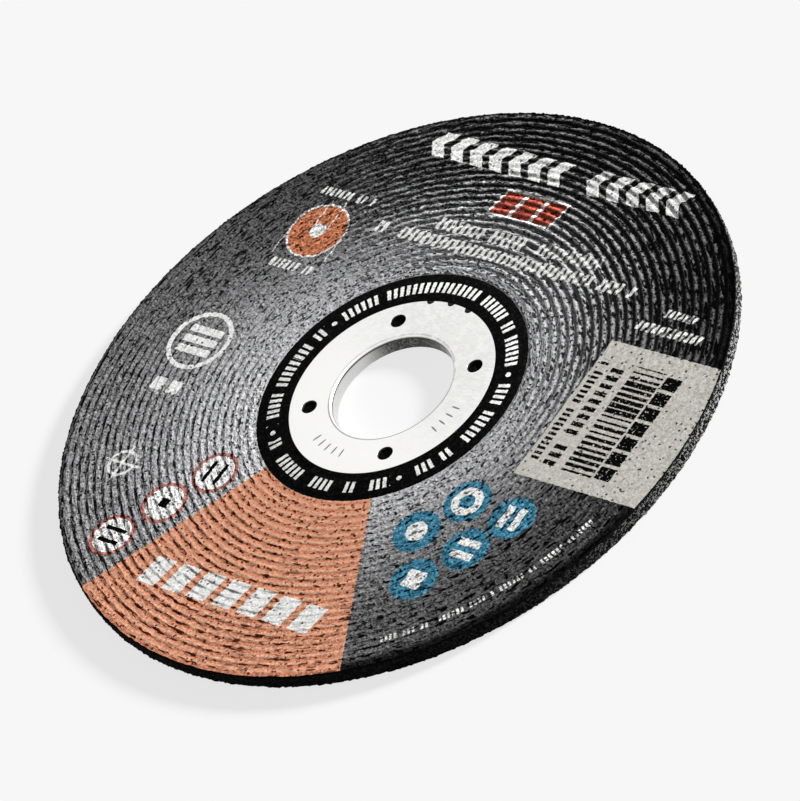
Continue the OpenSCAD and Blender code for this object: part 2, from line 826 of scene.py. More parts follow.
class Sheet:
    """The print so far: its colour, and how far it fills the ribs."""

    def __init__(self, nodes: Nodes, colour: Value, point: tuple[Value, Value]) -> None:
        """Starts with a ground colour.

        Args:
            nodes: the material's nodes.
            colour: the ground.
            point: x and y at which the print is read.
        """
        self.nodes = nodes
        self.colour = colour
        self.x, self.y = point
        self.here = nodes.vector(*point)
        self.fill: Value | None = None

    def ink(self, mask: Value, ink: Ink, fill: float = 0.0) -> None:
        """Prints an ink.

        Args:
            mask: where.
            ink: which one.
            fill: how far it fills the ribs, from 0 to 1.
        """
        self.colour = self.nodes.blend(mask, self.colour, ink.value)
        if fill:
            self.fill = mask * fill if self.fill is None else self.fill | (mask * fill)

    def gap(self, x: float, y: float) -> Value:
        """Distance from a point of the face."""
        return self.nodes.distance(self.here, (x, y, 0.0))

    def lean(self, foot: float, slant: float) -> Value:
        """Place across, along lines that lean about a height."""
        return self.x - (self.y - foot) * slant

    def box(self, box: Box, across: Value | None = None) -> Value:
        """Mask of a rectangle.

        Args:
            box: the rectangle.
            across: place across, where it isn't x.

        Returns:
            1 inside.
        """
        x = self.x if across is None else across
        return x.near(box.x, box.half_x) * self.y.near(box.y, box.half_y)

    def hoop(self, hoop: Hoop) -> Value:
        """1 on the line of a drawn circle."""
        return self.gap(hoop.x, hoop.y).near(hoop.radius, hoop.half)

    def row(self, along: Value, across: Value, row: BlockRow) -> Value:
        """Mask of a row of blocks.

        Args:
            along: place along the row.
            across: place across the row, which rises from the foot of the blocks.
            row: the row.

        Returns:
            1 on a block.
        """
        cell = (along - row.start) / row.block
        index = cell.floor()
        luck = self.nodes.chance(index + row.seed)
        body = across.near(row.line, row.height / 2)
        inside = along.near((row.start + row.end) / 2, (row.end - row.start) / 2)
        return (cell - index).near(CELL_MIDDLE, row.half) * body * inside * (luck > row.gaps)

    def bars(self, along: Value, bars: Bars) -> Value:
        """Mask of endless bars across a direction.

        Args:
            along: place in that direction.
            bars: the bars.

        Returns:
            1 on a bar.
        """
        cell = (along - bars.start) / bars.pitch
        index = cell.floor()
        mask = (cell - index).near(CELL_MIDDLE, bars.half)
        return mask if bars.empty is None else mask * (abs(index - bars.empty) > 0.5)


@dataclass(frozen=True)
class Zones:
    """Where the label's wear and its painted light and shade differ: masks of the ribs and of sectors, and
    fine noise.
    """

    ribbed: Value
    steep: Value
    groove: Value
    lee: Value
    wavy: Value
    lift: Value
    dim: Value
    loose: Value
    fine: Value


@dataclass(frozen=True)
class LabelWearAndShade:
    """Grain, dashes, pits and dust on the print, with painted shade that darkens rib slopes and grooves and
    painted light and shade by side.
    """

    sizes: WheelSizes
    shade_turn: float
    ribbed_edge: Span = (-0.1, 0.4)
    steep_phase: Span = (0.2, 0.24)
    lee_phase: float = 0.13
    lee_power: float = 1.35
    lee_share: float = 0.85
    wavy_side: Side = Side(128.0, 0.68, 0.94)
    wavy_mm: float = 2.6
    wavy_reach: float = 1.7
    wavy_dim: float = 0.3
    wavy_outer: Span = (30.0, 40.0)
    wavy_gain: float = 0.25
    lift_side: Side = Side(90.0, 0.6, 0.97)
    lift_inner: Span = (24.5, 29.0)
    lift_dim: float = 0.6
    lift_outer: Span = (32.0, 42.0)
    lift_gain: Span = (0.85, 0.35)
    dim_outer: Span = (25.0, 45.0)
    dim_gain: float = 0.25
    calm_side: Side = Side(-35.0, 0.45, 0.85, 0.6)
    loose_side: Side = Side(160.0, 0.86, 0.97, 0.7)
    loose_lee: float = 0.5
    fine_mm: float = 0.4
    fine_rise: float = 0.16
    crumb_scale: float = 2.6
    speck_edge: Span = (0.34, 0.66)
    speck_gain: float = 1.2
    speck_outer: Span = (26.0, 52.0)
    speck_share: Span = (0.3, 0.75)
    speck_cover: float = 0.75
    speck_dim: float = 0.4
    rough_fill: Span = (0.96, 0.8)
    groove_shade_share: float = 0.95
    groove_rise: float = 0.3
    dash_width: float = 0.5
    dash_turns: float = 30.0
    dash_inner: Span = (40.0, 26.0)
    dash_inner_gain: float = 0.018
    dash_outer: Span = (44.0, 53.0)
    dash_outer_gain: float = 0.03
    dash_fill: float = 0.045
    dash_loose: float = 0.12
    dash_edge: Span = (0.5, 0.58)
    dash_spread: float = 1.3
    dash_rise: Span = (0.3, 0.1)
    spot_scale: float = 0.85
    spot_edge: Span = (0.24, 0.15)
    pit_tone: Colour = (0.2, 0.2, 0.2)
    pit_depth: float = 0.10
    dust_edge: Span = (0.5, 0.75)
    dust_share: float = 0.014
    swell_mm: float = 0.9
    swell_rise: float = 0.2
    roughness: Span = (0.6, 0.85)
    specular: float = 0.008

    def dress(self, sheet: Sheet, spot: Spot) -> bpy.types.Material:
        """Adds grain, dashes, pits, dust and painted light and shade to a whole print.

        Args:
            sheet: the print.
            spot: place on the label.

        Returns:
            The finished material.
        """
        nodes = sheet.nodes
        zones = self._zones(spot)
        # Grain, with painted shade and painted highlights on the rib slopes and sides of the label.
        colour = nodes.multiply(sheet.colour, self._gain(sheet, spot, zones))
        rough = sheet.fill.ramp(*self.rough_fill)
        # Painted shade: grooves under ink that partly fills the ribs darken and deepen in colour.
        painted_groove_shade = zones.groove * sheet.fill * rough * self.groove_shade_share
        colour = nodes.blend(painted_groove_shade, colour, nodes.multiply(colour, colour))
        east, north = (part / spot.radius * self.dash_turns for part in (spot.x, spot.y))
        along = nodes.vector(spot.radius / self.dash_width, east, north)
        stretch = nodes.grain(along, 1.0, detail=1.0, rough=0.4)
        pits = self._pits(sheet, spot.radius, zones, stretch) * zones.ribbed
        colour = nodes.blend(pits, colour, nodes.multiply(colour, nodes.multiply(colour, self.pit_tone)))
        dust = zones.fine.ramp(*self.dust_edge) * (1 - zones.ribbed) * self.dust_share
        colour = nodes.blend(dust, colour, Ink.WHITE.value)
        swell = nodes.grain(spot.here, self.swell_mm, detail=1.0, rough=0.5)
        height = zones.fine * self.fine_rise + swell * self.swell_rise
        height = height + stretch * zones.loose.spread(*self.dash_rise)
        height = height - zones.groove * zones.dim * (1 - zones.loose) * self.groove_rise
        bumpy = nodes.bump(height * zones.ribbed - pits * self.pit_depth)
        level = nodes.add(
            "ShaderNodeMix",
            {"data_type": "VECTOR"},
            {0: sheet.fill, 4: bumpy, 5: (0.0, 0.0, 1.0)},
            output=1,
        )
        return nodes.surface(
            {
                "Base Color": colour,
                "Roughness": zones.fine.spread(*self.roughness),
                "Specular IOR Level": self.specular,
                "Normal": level,
            }
        )

    def _zones(self, spot: Spot) -> Zones:
        """Measures what the wear depends on.

        Args:
            spot: place on the label.

        Returns:
            The masks.
        """
        nodes, radius = spot.nodes, spot.radius
        low, high = (self.sizes.clamp_r + edge for edge in self.ribbed_edge)
        wavy, lift = spot.side(self.wavy_side), spot.side(self.lift_side)
        wander = (nodes.grain(spot.here, self.wavy_mm) - 0.5) * wavy * self.wavy_reach
        steep, groove, lee = self._rib(nodes, radius + wander)
        outer = radius.ramp(*self.dim_outer) | (lift * radius.ramp(*self.lift_inner) * self.lift_dim)
        # dim weighs the painted light and shade: it grows towards shade_turn and in the wavy sector, and
        # outwards.
        half_turn = spot.facing(self.shade_turn) * 0.5 + 0.5
        return Zones(
            ribbed=radius.ramp(low, high),
            steep=steep,
            groove=groove,
            lee=lee,
            wavy=wavy,
            lift=lift,
            dim=(half_turn + wavy * self.wavy_dim) * outer,
            loose=spot.side(self.calm_side) | spot.side(self.loose_side),
            fine=nodes.grain(spot.here, self.fine_mm),
        )

    def _rib(self, nodes: Nodes, radius: Value) -> tuple[Value, Value, Value]:
        """Where a place lies on its rib's wave.

        Args:
            nodes: the material's nodes.
            radius: distance from the axis.

        Returns:
            1 on the steep side, the wave's depth from 0 at a crest to 1 in a groove, and the
            lee, which is 1 on the slope that turns inwards and 0 on the one that turns outwards.
        """
        fall = self.sizes.rib_fall
        turns = (radius - self.sizes.clamp_r) / self.sizes.pitch
        phase = turns - turns.floor()
        down = nodes.math("MINIMUM", phase / (2 * fall), 0.5)
        up = nodes.math("MAXIMUM", phase - fall, 0.0) / (2 * (1 - fall))
        lee = (phase - self.lee_phase).wave() ** self.lee_power
        return phase.near(*self.steep_phase), (down + up).wave(), lee

    def _gain(self, sheet: Sheet, spot: Spot, zones: Zones) -> Value:
        """Brightness of grain, with painted shade and painted highlights on the rib slopes and by side.

        Args:
            sheet: the print.
            spot: place on the label.
            zones: what the wear depends on.

        Returns:
            What the print's colour is multiplied with.
        """
        nodes, radius, bare = spot.nodes, spot.radius, 1 - sheet.fill
        crumb = nodes.parts(nodes.cells(spot.here, self.crumb_scale, "Color"))[0]
        speck = (zones.fine.ramp(*self.speck_edge) + crumb - 1) * self.speck_gain
        speck = speck * radius.ramp(*self.speck_outer).spread(*self.speck_share)
        # Grain specks, painted with more contrast on the side the key light rakes.
        gain = 1 + speck * (1 - sheet.fill * self.speck_cover) * (zones.dim * self.speck_dim + 1)
        # Painted shade: rib slopes that turn inwards darken on the side the key light rakes; in the sectors
        # across the light all slopes darken a little.
        slope = zones.lee * (1 - zones.loose) + zones.loose * self.loose_lee
        gain = gain * (1 - slope * zones.dim * bare * self.lee_share)
        # Painted light: the side the key light rakes brightens.
        gain = gain * (1 + zones.dim * bare * self.dim_gain)
        # Painted light: the sector about 128 degrees brightens outwards.
        wavy = zones.wavy * (1 - zones.loose) * radius.ramp(*self.wavy_outer)
        gain = gain * (1 + wavy * bare * self.wavy_gain)
        # Painted highlights: the sector about 90 degrees brightens, most on the slopes that turn outwards.
        lifted = zones.lift * radius.ramp(*self.lift_outer) * bare
        return gain * (1 + lifted * zones.lee.spread(*self.lift_gain))

    def _pits(self, sheet: Sheet, radius: Value, zones: Zones, stretch: Value) -> Value:
        """Dark dashes along the ribs, and round pits.

        Args:
            sheet: the print.
            radius: distance from the axis.
            zones: what the wear depends on.
            stretch: noise drawn out along the ribs.

        Returns:
            1 in a dash or pit.
        """
        ends = radius.ramp(*self.dash_inner) * self.dash_inner_gain
        ends = ends + radius.ramp(*self.dash_outer) * self.dash_outer_gain
        dashes = stretch - sheet.fill * self.dash_fill - zones.loose * self.dash_loose + ends
        dashes = dashes.ramp(*self.dash_edge) * (zones.steep | (zones.loose * self.dash_spread))
        spots = sheet.nodes.cells(sheet.here, self.spot_scale, "Distance")
        return spots.ramp(*self.spot_edge) | (dashes * sheet.fill.ramp(*self.rough_fill))


@dataclass(frozen=True)
class LabelFinish:
    """The label's print: a grey ground with colour fields, blocks and badges."""

    sizes: WheelSizes
    grey_stops: tuple[Span, ...] = (
        (25.0, 0.46), (34.0, 0.315), (43.0, 0.16), (52.0, 0.096), (60.5, 0.086), (62.0, 0.05)
    )
    grey_blue: float = 1.02
    shade_turn: float = 56.0
    shade_base: float = 0.38
    shade_outer: Span = (27.0, 58.0)
    shade_least: float = 0.21
    edge_shade_side: Side = Side(-20.0, -0.3, 0.5, 0.85)
    edge_shade_outer: Span = (59.3, 61.3)
    fray_scale: float = 2.6
    fray_detail: float = 2.0
    fray_mm: float = 0.3
    wedge_middle: float = -90.0
    wedge_half: float = 29.0
    wedge_fill: float = 0.7
    wedge_bars: Bars = Bars(-21.0, 5.85, 0.36)
    wedge_field: Box = Box(-0.5, -47.0, 20.4, 2.85)
    panel_left: float = 34.8
    panel_low: float = -9.4
    panel_high: float = 20.4
    panel_fill: float = 0.95
    panel_slope: float = 2.0
    panel_edge: float = 0.6
    stripe_start: float = -6.7
    stripe_pitch: float = 1.2
    stripe_seed: float = 211.5
    stripe_half: Span = (0.15, 0.45)
    stripe_field: Box = Box(46.3, 5.05, 3.3, 11.7)
    heavy_row: BlockRow = BlockRow(-6.5, 16.6, 51.7, 3.3, 3.3, 151.5, 0.0, 0.4)
    column_rows: tuple[BlockRow, ...] = (
        BlockRow(-6.5, 16.0, -40.0, 2.6, 1.7, 171.5),
        BlockRow(-7.0, 16.4, -36.6, 1.7, 1.05, 191.5),
    )
    flake_mm: float = 0.5
    flake_edge: Span = (0.33, 0.4)
    slant: float = 0.18
    white_fill: float = 0.89
    white_rows: tuple[BlockRow, ...] = (
        BlockRow(-16.7, 22.0, 34.1, 2.5, 1.35, 3.5),
        BlockRow(-27.0, 32.5, 30.4, 2.5, 1.35, 17.5),
        BlockRow(37.0, 51.0, 24.7, 1.9, 1.2, 29.5),
        BlockRow(40.8, 47.6, 28.3, 1.6, 1.0, 43.5),
        BlockRow(-43.2, -30.8, 34.6, 1.7, 1.05, 61.5),
        BlockRow(-42.6, -32.9, 17.8, 1.9, 1.1, 73.5),
    )
    faint_row: BlockRow = BlockRow(-6.3, 5.0, -27.2, 2.2, 1.6, 231.5)
    faint_share: float = 0.45
    chevrons: Bars = Bars(-29.5, 4.5, 0.31, 7.0)
    chevron_field: Box = Box(-0.25, 49.8, 29.25, 2.7)
    chevron_point: float = 0.7
    white_hoops: tuple[Hoop, ...] = (Hoop(-44.2, -1.7, 5.95, 0.45), Hoop(-40.8, -29.2, 2.6, 0.28))
    hoop_bars: Bars = Bars(-5.1, 2.25, 0.34)
    hoop_field: Box = Box(-44.2, -1.7, 3.8, 3.4)
    white_boxes: tuple[Box, ...] = (
        Box(-45.85, -12.1, 1.3, 1.4),
        Box(-42.05, -12.1, 1.3, 1.4),
        Box(-40.8, -29.2, 0.25, 3.8),
        Box(-40.8, -29.2, 3.8, 0.25),
    )
    red_frame: Box = Box(0.2, 41.35, 7.2, 2.9)
    red_frame_fill: float = 0.3
    red_bars: Bars = Bars(-7.0, 4.8, 0.41)
    red_half: float = 2.5
    red_fill: float = 0.45
    wheel_badge: Hoop = Hoop(-37.75, 26.1, 5.9, 0.2)
    wheel_fill: float = 0.35
    hub_r: float = 1.6
    gauge_half: float = 0.12
    hub_gauge: Span = (29.6, 3.4)
    rim_gauge: Span = (22.9, 3.2)
    blue_badges: tuple[Badge, ...] = (
        Badge(30.25, -17.1, Mark.RING),
        Badge(40.6, -17.7, Mark.BARS),
        Badge(25.0, -25.25, Mark.DOT),
        Badge(36.4, -25.8, Mark.STACK),
        Badge(31.1, -34.0, Mark.SQUARE),
    )
    blue_fill: float = 0.1
    blue_stroke: float = 0.75
    blue_mark_fill: float = 0.6
    pale_mm: float = 0.7
    pale_edge: Span = (0.48, 0.68)
    pale_share: float = 0.7
    red_badges: tuple[Badge, ...] = (
        Badge(-21.25, -25.8, Mark.BARS),
        Badge(-26.6, -34.2, Mark.SQUARE),
        Badge(-31.9, -43.1, Mark.STACK),
    )
    badge_r: float = 4.35
    badge_inset: float = 0.3
    badge_fill: float = 0.3
    badge_ring_half: float = 0.38
    badge_ring_share: float = 0.85
    red_stroke: float = 0.4
    mark_r: float = 2.2
    mark_dot: float = 2.7
    mark_apart: float = 1.3
    mark_half: float = 2.3
    mark_square: float = 2.4
    ring_row_r: float = 22.0
    ring_row: BlockRow = BlockRow(-70.0, 70.0, -22.0, 2.3, 1.2, 91.5)
    ring_dots: tuple[float, ...] = (22.5, 156.4, 223.8, -48.9)
    ring_dot_r: float = 0.5
    ring_dot_room: float = 2.0
    rim_row: BlockRow = BlockRow(-54.7, -14.0, 57.2, 1.15, 0.8, 131.5)
    rim_fill: float = 0.3

    def material(self) -> bpy.types.Material:
        """Builds the material.

        Returns:
            The printed label.
        """
        nodes = Nodes(bpy.data.materials.new("printed_label"))
        spot = Spot(nodes)
        sheet = Sheet(nodes, self._grey(spot), self._ragged(spot))
        for part in (self._fields, self._badges, self._panel, self._headings, self._white):
            part(sheet)
        return LabelWearAndShade(self.sizes, self.shade_turn).dress(sheet, spot)

    def panel_share(self, x: float, y: float) -> float:
        """How far a place of the face lies inside the beige panel.

        Args:
            x: place across.
            y: place upwards.

        Returns:
            0 outside the panel and 1 inside, with a narrow ramp across its edge.
        """
        depth = min(x - self.panel_left, y - self.panel_low, self.panel_high - y)
        return min(1.0, max(0.0, self.panel_slope * depth + self.panel_edge))

    def _ragged(self, spot: Spot) -> tuple[Value, Value]:
        """Place with a slight wander, which frays the edges of the print.

        Args:
            spot: place on the label.

        Returns:
            The wandering x and y.
        """
        sockets = {"Vector": spot.here, "Scale": self.fray_scale, "Detail": self.fray_detail}
        dx, dy, _ = spot.nodes.parts(spot.nodes.add("ShaderNodeTexNoise", None, sockets, output="Color"))
        return spot.x + (dx - 0.5) * self.fray_mm, spot.y + (dy - 0.5) * self.fray_mm

    def _grey(self, spot: Spot) -> Value:
        """The grey ground, darker outwards, with painted light and shade that darken it towards one side
        and lighten the other, and painted shade on its outer edge at the right and lower right.

        Args:
            spot: place on the label.

        Returns:
            Its colour.
        """
        nodes, radius = spot.nodes, spot.radius
        low, high = self.grey_stops[0][0], self.grey_stops[-1][0]
        stops = [
            ((r - low) / (high - low), (tone, tone, tone * self.grey_blue)) for r, tone in self.grey_stops
        ]
        colour = nodes.add("ShaderNodeValToRGB", {"stops": stops}, {0: (radius - low) / (high - low)})
        # Painted light and shade: darker towards shade_turn and lighter on the far side, most outwards.
        outer = radius.ramp(*self.shade_outer).spread(self.shade_least, 1.0)
        shade = self.shade_base ** (spot.facing(self.shade_turn) * outer)
        # Painted shade: the outer edge darkens at the right and lower right.
        edge = radius.ramp(*self.edge_shade_outer) * spot.side(self.edge_shade_side)
        return nodes.multiply(colour, shade * (1 - edge))

    def _fields(self, sheet: Sheet) -> None:
        """Orange wedge, and the black ring with its row of blocks.

        Args:
            sheet: the print so far.
        """
        radius = sheet.gap(0.0, 0.0)
        angle = sheet.nodes.math("ARCTAN2", sheet.y, sheet.x)
        wedge = angle.near(math.radians(self.wedge_middle), math.radians(self.wedge_half))
        sheet.ink(wedge, Ink.ORANGE, self.wedge_fill)
        sheet.ink(radius < self.sizes.clamp_r, Ink.BLACK)
        white = sheet.row(angle * self.ring_row_r, 0 - radius, self.ring_row)
        for turn in self.ring_dots:
            gap = sheet.gap(*polar(self.ring_row_r, turn))
            white = (white * (gap > self.ring_dot_room)) | (gap < self.ring_dot_r)
        sheet.ink(white, Ink.WHITE)
        sheet.ink(sheet.row(angle * (180 / math.pi), radius, self.rim_row), Ink.WHITE, self.rim_fill)

    def _mark(self, sheet: Sheet, badge: Badge, half: float) -> Value:
        """Mask of the plain shape inside a badge.

        Args:
            sheet: the print so far.
            badge: the badge.
            half: half width of its strokes.

        Returns:
            1 on the shape.
        """
        if badge.mark is Mark.RING:
            return sheet.gap(badge.x, badge.y).near(self.mark_r, half)
        if badge.mark is Mark.DOT:
            return sheet.gap(badge.x, badge.y) < self.mark_dot * half
        if badge.mark is Mark.BARS:
            strokes = abs(sheet.x - badge.x).near(self.mark_apart, half)
            return strokes * sheet.y.near(badge.y, self.mark_half)
        if badge.mark is Mark.STACK:
            strokes = abs(sheet.y - badge.y).near(self.mark_apart, half)
            return strokes * sheet.x.near(badge.x, self.mark_half)
        return sheet.box(Box(badge.x, badge.y, self.mark_square * half, self.mark_square * half))

    def _badges(self, sheet: Sheet) -> None:
        """Blue badges and red ringed badges.

        Args:
            sheet: the print so far.
        """
        pale = sheet.nodes.grain(sheet.here, self.pale_mm).ramp(*self.pale_edge) * self.pale_share
        for badge in self.blue_badges:
            disc = sheet.gap(badge.x, badge.y) < self.badge_r
            sheet.ink(disc, Ink.BLUE, self.blue_fill)
            sheet.ink(disc * pale, Ink.LIGHT_BLUE)
            sheet.ink(self._mark(sheet, badge, self.blue_stroke), Ink.WHITE, self.blue_mark_fill)
        inner_r = self.badge_r - self.badge_inset
        for badge in self.red_badges:
            gap = sheet.gap(badge.x, badge.y)
            sheet.ink(gap < inner_r, Ink.WHITE, self.badge_fill)
            sheet.ink(gap.near(inner_r, self.badge_ring_half) * self.badge_ring_share, Ink.RED)
            sheet.ink(self._mark(sheet, badge, self.red_stroke), Ink.BLACK)

    def _panel(self, sheet: Sheet) -> None:
        """Beige panel with stripes, heavy blocks and two columns of small blocks.

        Args:
            sheet: the print so far.
        """
        x, y = sheet.x, sheet.y
        middle = (self.panel_low + self.panel_high) / 2
        half = (self.panel_high - self.panel_low) / 2
        sheet.ink((x > self.panel_left) * y.near(middle, half), Ink.BEIGE, self.panel_fill)
        cell = (y - self.stripe_start) / self.stripe_pitch
        index = cell.floor()
        width = sheet.nodes.chance(index + self.stripe_seed).spread(*self.stripe_half)
        stripes = (cell - index).near(CELL_MIDDLE, width) * sheet.box(self.stripe_field)
        columns = [sheet.row(y, 0 - x, row) for row in self.column_rows]
        dark = union([stripes, sheet.row(y, x, self.heavy_row), *columns])
        whole = sheet.nodes.grain(sheet.here, self.flake_mm).ramp(*self.flake_edge)
        sheet.ink(dark * whole, Ink.BLACK)

    def _headings(self, sheet: Sheet) -> None:
        """Red bars in a white frame, and the orange wheel badge.

        Args:
            sheet: the print so far.
        """
        leaning = sheet.lean(self.red_frame.y, self.slant)
        behind = sheet.box(self.red_frame, leaning)
        sheet.ink(behind, Ink.WHITE, self.red_frame_fill)
        block = sheet.bars(leaning, self.red_bars) * sheet.y.near(self.red_frame.y, self.red_half)
        sheet.ink(block * behind, Ink.RED, self.red_fill)
        badge = self.wheel_badge
        gap, aside = sheet.gap(badge.x, badge.y), abs(sheet.x - badge.x)
        sheet.ink(gap < badge.radius, Ink.DEEP_ORANGE, self.wheel_fill)
        lines = aside.near(self.hub_r, self.gauge_half) * sheet.y.near(*self.hub_gauge)
        lines = lines | (aside.near(badge.radius, self.gauge_half) * sheet.y.near(*self.rim_gauge))
        sheet.ink(sheet.hoop(badge) | (gap < self.hub_r) | lines, Ink.WHITE)

    def _white(self, sheet: Sheet) -> None:
        """White chevrons, bars, rows and the outlined badges.

        Args:
            sheet: the print so far.
        """
        x, y = sheet.x, sheet.y
        pointed = x - abs(y - self.chevron_field.y) * self.chevron_point
        leaning = sheet.lean(self.wedge_field.y, self.slant)
        masks = [
            sheet.bars(pointed, self.chevrons) * sheet.box(self.chevron_field, pointed),
            sheet.bars(leaning, self.wedge_bars) * sheet.box(self.wedge_field, leaning),
            sheet.bars(y, self.hoop_bars) * sheet.box(self.hoop_field),
        ]
        masks += [sheet.hoop(hoop) for hoop in self.white_hoops]
        masks += [sheet.box(box) for box in self.white_boxes]
        masks += [sheet.row(sheet.lean(row.line, self.slant), y, row) for row in self.white_rows]
        sheet.ink(union(masks), Ink.WHITE, self.white_fill)
        sheet.ink(sheet.row(y, 0 - x, self.faint_row) * self.faint_share, Ink.PALE)


@dataclass
class FaceLabel:
    """The printed sheet: it follows the ribs and dips under the ring's flange."""

    sizes: WheelSizes
    steps: int = 416
    top_shares: tuple[float, ...] = (0.0, 1 / 6, 1 / 3, 0.5, 0.625, 0.75, 0.875)
    bed_shares: tuple[float, ...] = (0.0, 0.5)
    ripple: float = 0.05
    ripple_mm: float = 1.5
    wide_share: float = 0.6
    close_scale: float = 0.4
    close_share: float = 0.4
    close_seed: float = 7.3
    flat_edge: float = 0.1
    panel_level: float = 0.9
    rib_share: float = 0.7
    rib_lean: float = 0.26
    inner_share: float = 0.4
    inner_width: float = 14.0
    edge_drop: float = 0.16
    break_mm: float = 2.4
    break_share: float = 0.55
    break_seed: float = 5.3
    rib_slack: float = 0.001
    sharp: float = 50.0
    finish: LabelFinish = field(init=False)

    def __post_init__(self) -> None:
        """Takes the print for these sizes."""
        self.finish = LabelFinish(self.sizes)

    def outline(self) -> list[Point]:
        """Section of the label, over its face and back along its underside.

        Returns:
            Radius and height of each corner.
        """
        s = self.sizes
        hole_r = s.bend_r + s.seat_gap
        under = s.seat_z - s.label_t
        face = [(r, s.wheel_t + z) for r, z in s.ribs(self.top_shares)]
        bed = [(r, s.wheel_t - s.label_t + z) for r, z in reversed(s.ribs(self.bed_shares))]
        start = [(hole_r, under), (hole_r, s.seat_z), (s.seat_r, s.seat_z), (s.seat_r, s.wheel_t)]
        edge = [(s.label_r, s.wheel_t), (s.label_r, s.wheel_t - s.label_t)]
        end = [(s.seat_r + s.label_t, s.wheel_t - s.label_t), (s.seat_r + s.label_t, under)]
        return start + face + edge + bed + end

    def ruffle(self, mesh: bmesh.types.BMesh) -> None:
        """Makes the ribs uneven, as pressed grain leaves them.

        Args:
            mesh: the turned label.
        """
        s = self.sizes
        towards = Vector(polar(1.0, self.finish.shade_turn))
        mesh.normal_update()
        for vert in mesh.verts:
            here = vert.co / MM
            radius = math.hypot(here.x, here.y)
            if vert.normal.z < 0 or radius < s.clamp_r + self.flat_edge:
                continue
            flat = Vector((here.x, here.y, 0.0))
            wide = noise.noise(flat / self.ripple_mm)
            close_mm = self.ripple_mm * self.close_scale
            close = noise.noise(flat / close_mm + Vector((0, 0, self.close_seed)))
            drop = self.ripple * (1 + self.wide_share * wide + self.close_share * close)
            lean = (here.x * towards.x + here.y * towards.y) / radius * self.rib_lean
            level = self.finish.panel_share(here.x, here.y) * self.panel_level
            groove = s.wheel_t - here.z
            fade = min(1.0, self.inner_share + (radius - s.clamp_r) / self.inner_width)
            rib = math.floor((radius - s.clamp_r) / s.pitch + self.rib_slack)
            broken = noise.noise(flat / self.break_mm + Vector((0, 0, self.break_seed * rib)))
            share = (self.rib_share + lean) * fade * (1 + self.break_share * broken)
            edge = self.edge_drop * max(0.0, radius - s.rib_r) / (s.label_r - s.rib_r)
            vert.co.z -= (edge + (drop + groove * share) * (1 - level) - groove) * MM

    def build(self) -> bpy.types.Object:
        """Makes the label.

        Returns:
            The piece that stands for the face label.
        """
        mesh = lathe(self.outline(), self.steps)
        self.ruffle(mesh)
        piece = to_piece(mesh, "label_sheet", self.finish.material(), self.sharp)
        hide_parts("face_label")
        return piece


